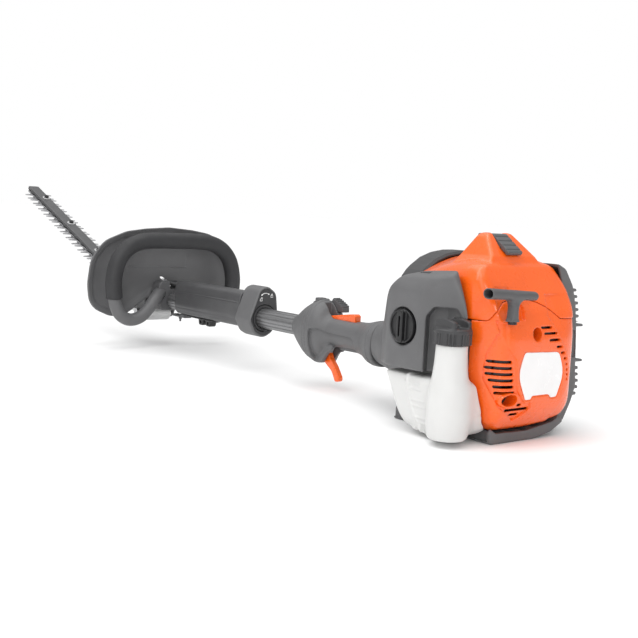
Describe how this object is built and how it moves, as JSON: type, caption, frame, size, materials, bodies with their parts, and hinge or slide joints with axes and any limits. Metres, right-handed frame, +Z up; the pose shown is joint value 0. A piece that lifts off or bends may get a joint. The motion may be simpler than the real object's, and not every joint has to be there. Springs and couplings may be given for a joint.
{
  "type": "pole hedge trimmer",
  "caption": "Petrol pole hedge trimmer: rear engine, throttle handle, shaft with sliding angle adjuster, loop handle with guard, tilting double-sided cutter bar.",
  "frame": {"origin": "centre of the bounding box, at its base", "axes": "+Y along the shaft from the engine to the cutter bar, +Z up, +X the operator's right"},
  "size_m": [0.3334, 1.6294, 0.3062],
  "materials": {
    "orange_plastic": "glossy moulded, fine orange peel",
    "grey_plastic": "fine spark-eroded texture",
    "mid_grey_plastic": "fine spark-eroded texture",
    "dark_plastic": "fine spark-eroded texture",
    "black_plastic": "satin",
    "tank_plastic": "milky translucent blow moulding",
    "blank_label": "blank",
    "rubber": "matt",
    "cast_alloy": "die cast, blasted",
    "anodised_alloy": "brushed lengthways, dark anodised",
    "bar_alloy": "extruded",
    "ground_steel": "ground",
    "dark_steel": "phosphated",
    "ceramic": "glazed",
    "filter_felt": "felt",
    "rope_fibre": "braided"
  },
  "bodies": {
    "root": {"starter_cover": "orange_plastic", "rear_label_plate": "blank_label", "upper_cover": "orange_plastic", "cover_latch_insert": "grey_plastic", "recoil_spring": "dark_steel", "fuel_tank": "tank_plastic", "air_filter_cover": "grey_plastic", "air_filter": "filter_felt", "air_box": "dark_plastic", "carburettor": "cast_alloy", "crankcase": "cast_alloy", "cylinder": "cast_alloy", "ignition_coil": "black_plastic", "spark_plug": "ceramic", "muffler": "dark_steel", "clutch_housing": "mid_grey_plastic", "muffler_guard": "dark_plastic", "base_guard": "dark_plastic", "front_shroud": "dark_plastic", "throttle_handle": "mid_grey_plastic", "handle_nose": "mid_grey_plastic", "drive_tube": "bar_alloy", "ribbed_tube": "bar_alloy", "loop_handle_tube": "mid_grey_plastic", "loop_handle_grip": "rubber", "loop_clamp": "grey_plastic", "hand_guard": "dark_plastic", "angle_housing": "dark_plastic", "pivot_bolt": "ground_steel"},
    "crank": {"crankshaft": "ground_steel", "flywheel": "cast_alloy", "clutch_shoes": "ground_steel"},
    "rod": {"connecting_rod": "ground_steel"},
    "piston": {"piston": "cast_alloy"},
    "drive": {"clutch_drum": "ground_steel", "drive_shaft": "ground_steel"},
    "pivot_gear": {"pivot_gear": "ground_steel"},
    "crank_gear": {"crank_gear": "ground_steel"},
    "cutter_head": {"gear_case": "cast_alloy", "gear_case_plate": "cast_alloy", "guide_bar": "ground_steel"},
    "upper_blade": {"upper_blade": "ground_steel"},
    "lower_blade": {"lower_blade": "ground_steel"},
    "adjuster": {"lock_collar": "mid_grey_plastic", "adjuster_sleeve": "anodised_alloy", "tilt_rod": "ground_steel", "sleeve_clip": "black_plastic", "link_bracket": "dark_steel"},
    "lock_ring": {"lock_ring": "dark_plastic"},
    "starter_handle": {"starter_handle": "grey_plastic"},
    "recoil_pulley": {"recoil_pulley": "grey_plastic", "starter_rope_coil": "rope_fibre"},
    "cap_seal": {"fuel_cap_seal": "rubber"},
    "fuel_cap": {"fuel_cap": "dark_plastic"},
    "filter_knob": {"filter_cover_knob": "black_plastic"},
    "trigger": {"throttle_trigger": "orange_plastic"},
    "lockout": {"throttle_lockout": "orange_plastic"},
    "stop_switch": {"stop_switch": "dark_plastic"},
    "primer": {"primer_bulb": "rubber"},
    "choke": {"choke_lever": "black_plastic"}
  },
  "joints": [
    {"name": "crank_spin", "type": "hinge", "parent": "root", "child": "crank", "pos_m": [0, -0.70606, 0.092], "axis": [0, 1, 0], "continuous": true},
    {"name": "rod_swing", "type": "hinge", "parent": "crank", "child": "rod", "pos_m": [0, -0.69406, 0.103], "axis": [0, 1, 0], "continuous": true},
    {"name": "piston_stroke", "type": "slide", "parent": "root", "child": "piston", "axis": [0, 0, 1], "range_m": [-0.022, 0]},
    {"name": "drive_spin", "type": "hinge", "parent": "root", "child": "drive", "pos_m": [0, -0.30606, 0.092], "axis": [0, 1, 0], "continuous": true},
    {"name": "pivot_gear_spin", "type": "hinge", "parent": "root", "child": "pivot_gear", "pos_m": [0, 0.17894, 0.062], "axis": [1, 0, 0], "continuous": true},
    {"name": "head_tilt", "type": "hinge", "parent": "root", "child": "cutter_head", "pos_m": [0, 0.17894, 0.062], "axis": [1, 0, 0], "range_deg": [-65, 70]},
    {"name": "crank_gear_spin", "type": "hinge", "parent": "cutter_head", "child": "crank_gear", "pos_m": [0, 0.22194, 0.07834], "axis": [0, -0.3551, 0.9348], "continuous": true},
    {"name": "upper_blade_stroke", "type": "slide", "parent": "cutter_head", "child": "upper_blade", "axis": [0, 0.9348, 0.3551], "range_m": [-0.0085, 0.0085]},
    {"name": "lower_blade_stroke", "type": "slide", "parent": "cutter_head", "child": "lower_blade", "axis": [0, 0.9348, 0.3551], "range_m": [-0.0085, 0.0085]},
    {"name": "adjuster_slide", "type": "slide", "parent": "root", "child": "adjuster", "axis": [0, 1, 0], "range_m": [-0.0296, 0.0275]},
    {"name": "lock_ring_turn", "type": "hinge", "parent": "adjuster", "child": "lock_ring", "pos_m": [0, -0.19906, 0.092], "axis": [0, 1, 0], "range_deg": [0, 40]},
    {"name": "starter_pull", "type": "slide", "parent": "root", "child": "starter_handle", "axis": [0, 0, 1], "range_m": [0, 0.8], "stiffness_N_per_m": 10, "springref_m": -0.3},
    {"name": "pulley_spin", "type": "hinge", "parent": "root", "child": "recoil_pulley", "pos_m": [0, -0.78406, 0.092], "axis": [0, 1, 0], "range_deg": [0, 1638]},
    {"name": "cap_turn", "type": "hinge", "parent": "cap_seal", "child": "fuel_cap", "pos_m": [-0.11, -0.75606, 0.137], "axis": [0, 0, 1], "range_deg": [0, 540]},
    {"name": "cap_lift", "type": "slide", "parent": "root", "child": "cap_seal", "axis": [0, 0, 1], "range_m": [0, 0.0076]},
    {"name": "filter_knob_turn", "type": "hinge", "parent": "root", "child": "filter_knob", "pos_m": [-0.12, -0.67506, 0.139], "axis": [1, 0, 0], "range_deg": [0, 90]},
    {"name": "trigger_pull", "type": "hinge", "parent": "root", "child": "trigger", "pos_m": [0, -0.38006, 0.058], "axis": [-1, 0, 0], "range_deg": [0, 18], "stiffness_Nm_per_rad": 0.4, "springref_deg": -17.19},
    {"name": "lockout_press", "type": "hinge", "parent": "root", "child": "lockout", "pos_m": [0, -0.38306, 0.113], "axis": [1, 0, 0], "range_deg": [0, 4], "stiffness_Nm_per_rad": 0.4, "springref_deg": -17.19},
    {"name": "stop_switch_slide", "type": "slide", "parent": "root", "child": "stop_switch", "axis": [0, -1, 0], "range_m": [0, 0.005]},
    {"name": "primer_press", "type": "slide", "parent": "root", "child": "primer", "axis": [0, -1, 0], "range_m": [0, 0.004], "stiffness_N_per_m": 400},
    {"name": "choke_turn", "type": "hinge", "parent": "root", "child": "choke", "pos_m": [-0.073, -0.61006, 0.092], "axis": [0, 1, 0], "range_deg": [0, 75]}
  ],
  "couplings": [
    {"joint": "rod_swing", "follows": "crank_spin", "ratio": -1},
    {"joint": "pivot_gear_spin", "follows": "drive_spin", "ratio": -0.625},
    {"joint": "crank_gear_spin", "follows": "drive_spin", "ratio": 0.2},
    {"joint": "lower_blade_stroke", "follows": "upper_blade_stroke", "ratio": -1},
    {"joint": "adjuster_slide", "follows": "head_tilt", "m_per_rad": -0.024},
    {"joint": "pulley_spin", "follows": "starter_pull", "rad_per_m": 35.7},
    {"joint": "cap_lift", "follows": "cap_turn", "m_per_rad": 0.0008}
  ]
}
